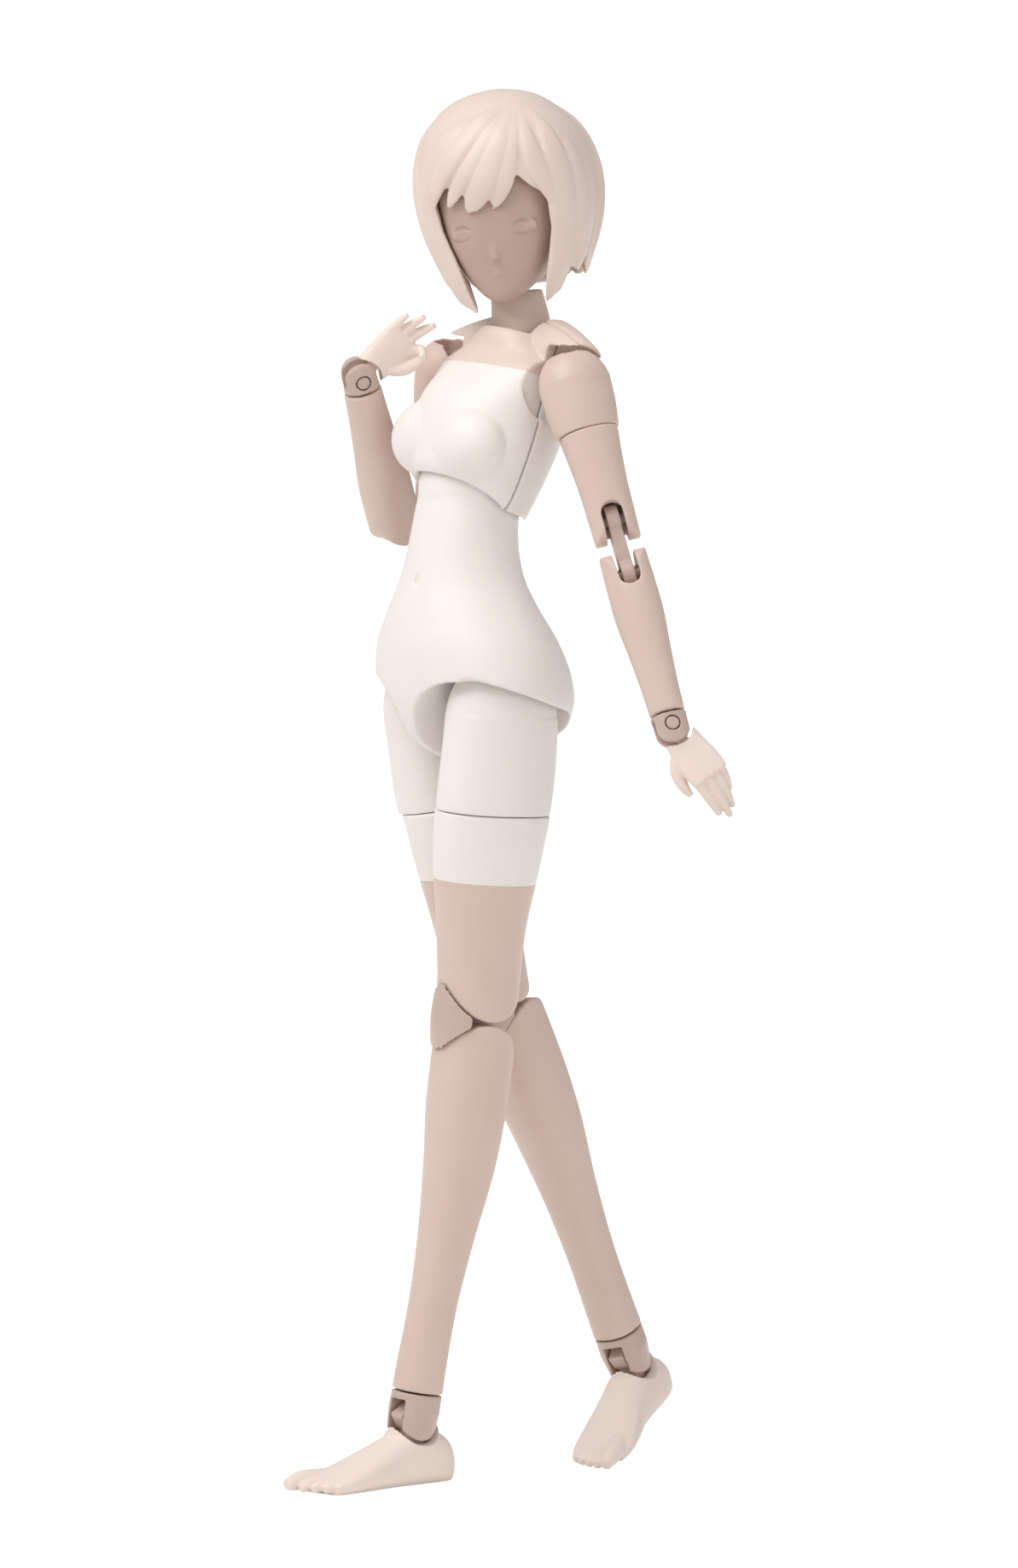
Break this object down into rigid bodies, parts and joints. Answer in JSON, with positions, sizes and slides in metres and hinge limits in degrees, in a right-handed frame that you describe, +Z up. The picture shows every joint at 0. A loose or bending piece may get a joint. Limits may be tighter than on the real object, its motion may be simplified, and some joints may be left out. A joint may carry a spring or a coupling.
{
  "type": "jointed action figure body",
  "caption": "Free-standing jointed figure body in a walking pose: blank face, bobbed hair, one hand raised, hinges from neck to ankles",
  "frame": {"origin": "middle of the bounding box, at the floor the left sole stands on", "axes": "+Z up, the pelvis faces -Y, the figure's left is +X"},
  "size_m": [0.0522, 0.0582, 0.1573],
  "materials": {
    "torso_plastic": "satin ivory moulded ABS",
    "limb_plastic": "satin beige moulded ABS",
    "hand_plastic": "satin pale beige moulded soft PVC",
    "hair_plastic": "satin pale sand moulded PVC",
    "joint_plastic": "satin pinkish beige moulded POM"
  },
  "bodies": {
    "pelvis": {"pelvis": "torso_plastic", "hip_axle": "joint_plastic", "waist_pin": "joint_plastic"},
    "left_hip_hub": {"left_hip_hub": "joint_plastic"},
    "left_upper_thigh": {"left_upper_thigh": "torso_plastic", "left_hip_pin": "joint_plastic"},
    "left_lower_thigh": {"left_lower_thigh": "limb_plastic", "left_thigh_pin": "joint_plastic"},
    "left_kneecap": {"left_kneecap": "joint_plastic"},
    "left_shin": {"left_shin": "limb_plastic", "left_shin_pin": "joint_plastic"},
    "left_ankle_fork": {"left_ankle_fork": "joint_plastic", "left_ankle_pin": "joint_plastic"},
    "left_ankle_tongue": {"left_ankle_tongue": "joint_plastic"},
    "left_foot": {"left_foot": "hand_plastic"},
    "right_hip_hub": {"right_hip_hub": "joint_plastic"},
    "right_upper_thigh": {"right_upper_thigh": "torso_plastic", "right_hip_pin": "joint_plastic"},
    "right_lower_thigh": {"right_lower_thigh": "limb_plastic", "right_thigh_pin": "joint_plastic"},
    "right_kneecap": {"right_kneecap": "joint_plastic"},
    "right_shin": {"right_shin": "limb_plastic", "right_shin_pin": "joint_plastic"},
    "right_ankle_fork": {"right_ankle_fork": "joint_plastic", "right_ankle_pin": "joint_plastic"},
    "right_ankle_tongue": {"right_ankle_tongue": "joint_plastic"},
    "right_foot": {"right_foot": "hand_plastic"},
    "waist_tongue": {"waist_tongue": "joint_plastic"},
    "chest_front": {"chest_front": "torso_plastic", "chest_back": "torso_plastic"},
    "left_shoulder_hub": {"left_shoulder_hub": "joint_plastic"},
    "left_shoulder_cap": {"left_shoulder_cap": "limb_plastic", "left_shoulder_pin": "joint_plastic"},
    "left_upper_arm": {"left_upper_arm": "limb_plastic", "left_arm_pin": "joint_plastic"},
    "left_elbow_link": {"left_elbow_link": "joint_plastic"},
    "left_forearm": {"left_forearm": "limb_plastic", "left_forearm_pin": "joint_plastic"},
    "left_wrist_block": {"left_wrist_block": "joint_plastic", "left_wrist_pin": "joint_plastic"},
    "left_hand": {"left_hand": "hand_plastic"},
    "right_shoulder_hub": {"right_shoulder_hub": "joint_plastic"},
    "right_shoulder_cap": {"right_shoulder_cap": "limb_plastic", "right_shoulder_pin": "joint_plastic"},
    "right_upper_arm": {"right_upper_arm": "limb_plastic", "right_arm_pin": "joint_plastic"},
    "right_elbow_link": {"right_elbow_link": "joint_plastic"},
    "right_forearm": {"right_forearm": "limb_plastic", "right_forearm_pin": "joint_plastic"},
    "right_wrist_block": {"right_wrist_block": "joint_plastic", "right_wrist_pin": "joint_plastic"},
    "right_hand": {"right_hand": "hand_plastic"},
    "neck_base": {"neck_base": "joint_plastic"},
    "neck": {"neck": "limb_plastic"},
    "head_ball": {"head_ball": "joint_plastic"},
    "face": {"face": "limb_plastic", "head_back": "limb_plastic", "hair_front": "hair_plastic", "hair_back": "hair_plastic"}
  },
  "joints": [
    {"name": "left_hip_swing", "type": "hinge", "parent": "pelvis", "child": "left_hip_hub", "pos_m": [-0.00072, -0.00387, 0.0872], "axis": [-1, 0, 0], "range_deg": [-11.1, 51.9]},
    {"name": "left_hip_spread", "type": "hinge", "parent": "left_hip_hub", "child": "left_upper_thigh", "pos_m": [-0.00072, -0.00387, 0.0872], "axis": [0, 0.9985, -0.0541], "range_deg": [-23.6, 1.4]},
    {"name": "left_thigh_swivel", "type": "hinge", "parent": "left_upper_thigh", "child": "left_lower_thigh", "pos_m": [-0.00072, -0.00387, 0.0872], "axis": [0.0628, 0.054, 0.9966], "range_deg": [-21.7, 28.3]},
    {"name": "left_knee_upper", "type": "hinge", "parent": "left_lower_thigh", "child": "left_kneecap", "pos_m": [-0.0026, -0.00549, 0.05731], "axis": [0.9964, -0.0609, -0.0595], "range_deg": [-0.3, 21.7]},
    {"name": "left_knee_lower", "type": "hinge", "parent": "left_kneecap", "child": "left_shin", "pos_m": [-0.00321, -0.00628, 0.04796], "axis": [0.9964, -0.0609, -0.0595], "range_deg": [-0.4, 33.6]},
    {"name": "left_ankle_swivel", "type": "hinge", "parent": "left_shin", "child": "left_ankle_fork", "pos_m": [-0.00594, -0.01214, 0.00828], "axis": [0.0678, 0.1458, 0.987], "range_deg": [-45.2, 14.8]},
    {"name": "left_ankle_tilt", "type": "hinge", "parent": "left_ankle_fork", "child": "left_ankle_tongue", "pos_m": [-0.00592, -0.01211, 0.00848], "axis": [-0.975, -0.2002, 0.0966], "range_deg": [-17.58, 32.42]},
    {"name": "left_ankle_rock", "type": "hinge", "parent": "left_ankle_tongue", "child": "left_foot", "pos_m": [-0.00636, -0.0122, 0.0039], "axis": [0.2011, -0.9796, 0], "range_deg": [-17.54, 6.46]},
    {"name": "right_hip_swing", "type": "hinge", "parent": "pelvis", "child": "right_hip_hub", "pos_m": [-0.01392, -0.00387, 0.0872], "axis": [-1, 0, 0], "range_deg": [-9.8, 11.2]},
    {"name": "right_hip_spread", "type": "hinge", "parent": "right_hip_hub", "child": "right_upper_thigh", "pos_m": [-0.01392, -0.00387, 0.0872], "axis": [0, 0.9842, 0.1771], "range_deg": [-2.9, 22.1]},
    {"name": "right_thigh_swivel", "type": "hinge", "parent": "right_upper_thigh", "child": "right_lower_thigh", "pos_m": [-0.01392, -0.00387, 0.0872], "axis": [0.0366, 0.177, -0.9835], "range_deg": [-4.8, 45.2]},
    {"name": "right_knee_upper", "type": "hinge", "parent": "right_lower_thigh", "child": "right_kneecap", "pos_m": [-0.01282, 0.00144, 0.0577], "axis": [0.9379, 0.3338, 0.095], "range_deg": [-16.9, 55.1]},
    {"name": "right_knee_lower", "type": "hinge", "parent": "right_kneecap", "child": "right_shin", "pos_m": [-0.01332, 0.00528, 0.04913], "axis": [0.9379, 0.3338, 0.095], "range_deg": [-3.6, 70.4]},
    {"name": "right_ankle_swivel", "type": "hinge", "parent": "right_shin", "child": "right_ankle_fork", "pos_m": [-0.01537, 0.02149, 0.0124], "axis": [-0.0509, 0.4032, -0.9137], "range_deg": [-17.5, 42.5]},
    {"name": "right_ankle_tilt", "type": "hinge", "parent": "right_ankle_fork", "child": "right_ankle_tongue", "pos_m": [-0.01536, 0.02141, 0.01259], "axis": [-0.8413, -0.5103, -0.1783], "range_deg": [-27.84, 22.16]},
    {"name": "right_ankle_rock", "type": "hinge", "parent": "right_ankle_tongue", "child": "right_foot", "pos_m": [-0.01547, 0.02309, 0.0083], "axis": [-0.54, 0.7787, 0.3194], "range_deg": [-15, 9]},
    {"name": "waist_bend", "type": "hinge", "parent": "pelvis", "child": "waist_tongue", "pos_m": [-0.00732, -0.00387, 0.1122], "axis": [1, 0, 0], "range_deg": [-4.8, 24.2]},
    {"name": "waist_twist", "type": "hinge", "parent": "waist_tongue", "child": "chest_front", "pos_m": [-0.00732, -0.00387, 0.1122], "axis": [0, 0.3123, 0.95], "range_deg": [-17, 11]},
    {"name": "left_shoulder_swing", "type": "hinge", "parent": "chest_front", "child": "left_shoulder_hub", "pos_m": [0.00518, 0.00246, 0.12423], "axis": [-0.9986, -0.0497, 0.0163], "range_deg": [-23, 102]},
    {"name": "left_shoulder_raise", "type": "hinge", "parent": "left_shoulder_hub", "child": "left_shoulder_cap", "pos_m": [0.00518, 0.00246, 0.12423], "axis": [0.0485, -0.9966, -0.0667], "range_deg": [-21, 52]},
    {"name": "left_arm_swivel", "type": "hinge", "parent": "left_shoulder_cap", "child": "left_upper_arm", "pos_m": [0.00518, 0.00246, 0.12423], "axis": [-0.3721, -0.08, 0.9247], "range_deg": [-121, 14]},
    {"name": "left_elbow_upper", "type": "hinge", "parent": "left_upper_arm", "child": "left_elbow_link", "pos_m": [0.01113, 0.00374, 0.10943], "axis": [-0.4069, -0.8814, -0.24], "range_deg": [-1.9, 86.1]},
    {"name": "left_elbow_lower", "type": "hinge", "parent": "left_elbow_link", "child": "left_forearm", "pos_m": [0.01377, 0.00416, 0.1034], "axis": [-0.4069, -0.8814, -0.24], "range_deg": [-1.4, 73.6]},
    {"name": "left_wrist_swivel", "type": "hinge", "parent": "left_forearm", "child": "left_wrist_block", "pos_m": [0.02132, 0.00512, 0.08709], "axis": [-0.4196, -0.053, 0.9062], "range_deg": [-5, 175]},
    {"name": "left_wrist_bend", "type": "hinge", "parent": "left_wrist_block", "child": "left_hand", "pos_m": [0.02141, 0.00513, 0.0869], "axis": [-0.8438, 0.3908, -0.3678], "range_deg": [-41.4, 88.6]},
    {"name": "right_shoulder_swing", "type": "hinge", "parent": "chest_front", "child": "right_shoulder_hub", "pos_m": [-0.01999, 0.00121, 0.12464], "axis": [-0.9986, -0.0497, 0.0163], "range_deg": [-15.5, 24.5]},
    {"name": "right_shoulder_raise", "type": "hinge", "parent": "right_shoulder_hub", "child": "right_shoulder_cap", "pos_m": [-0.01999, 0.00121, 0.12464], "axis": [-0.0493, 0.9985, 0.0231], "range_deg": [-6, 14]},
    {"name": "right_arm_swivel", "type": "hinge", "parent": "right_shoulder_cap", "child": "right_upper_arm", "pos_m": [-0.01999, 0.00121, 0.12464], "axis": [-0.1906, 0.0133, -0.9816], "range_deg": [-2.9, 75.1]},
    {"name": "right_elbow_upper", "type": "hinge", "parent": "right_upper_arm", "child": "right_elbow_link", "pos_m": [-0.02304, 0.00142, 0.10893], "axis": [-0.9722, -0.1414, 0.1869], "range_deg": [-85.6, 2.4]},
    {"name": "right_elbow_lower", "type": "hinge", "parent": "right_elbow_link", "child": "right_forearm", "pos_m": [-0.02224, -0.00509, 0.10817], "axis": [-0.9722, -0.1414, 0.1869], "range_deg": [-72.9, 2.1]},
    {"name": "right_wrist_swivel", "type": "hinge", "parent": "right_forearm", "child": "right_wrist_block", "pos_m": [-0.01814, -0.01184, 0.12435], "axis": [0.2273, -0.3751, 0.8987], "range_deg": [-67.7, 112.3]},
    {"name": "right_wrist_bend", "type": "hinge", "parent": "right_wrist_block", "child": "right_hand", "pos_m": [-0.0181, -0.01192, 0.12453], "axis": [-0.9211, 0.2168, 0.3235], "range_deg": [-126.7, 3.3]},
    {"name": "neck_tilt", "type": "hinge", "parent": "chest_front", "child": "neck_base", "pos_m": [-0.00745, 0.00325, 0.12618], "axis": [-0.0523, 0.9487, -0.3119], "range_deg": [-2.2, 21.8]},
    {"name": "neck_bend", "type": "hinge", "parent": "neck_base", "child": "neck", "pos_m": [-0.00745, 0.00325, 0.12618], "axis": [0.9841, 0.1022, 0.1456], "range_deg": [-25.6, 1.4]},
    {"name": "head_turn", "type": "hinge", "parent": "neck", "child": "head_ball", "pos_m": [-0.00891, 0.00269, 0.13646], "axis": [-0.1407, -0.0536, 0.9886], "range_deg": [-83.4, 6.6]},
    {"name": "head_nod", "type": "hinge", "parent": "head_ball", "child": "face", "pos_m": [-0.00891, 0.00269, 0.13646], "axis": [0.7036, 0.6971, 0.1379], "range_deg": [-14.8, 18.2]}
  ]
}
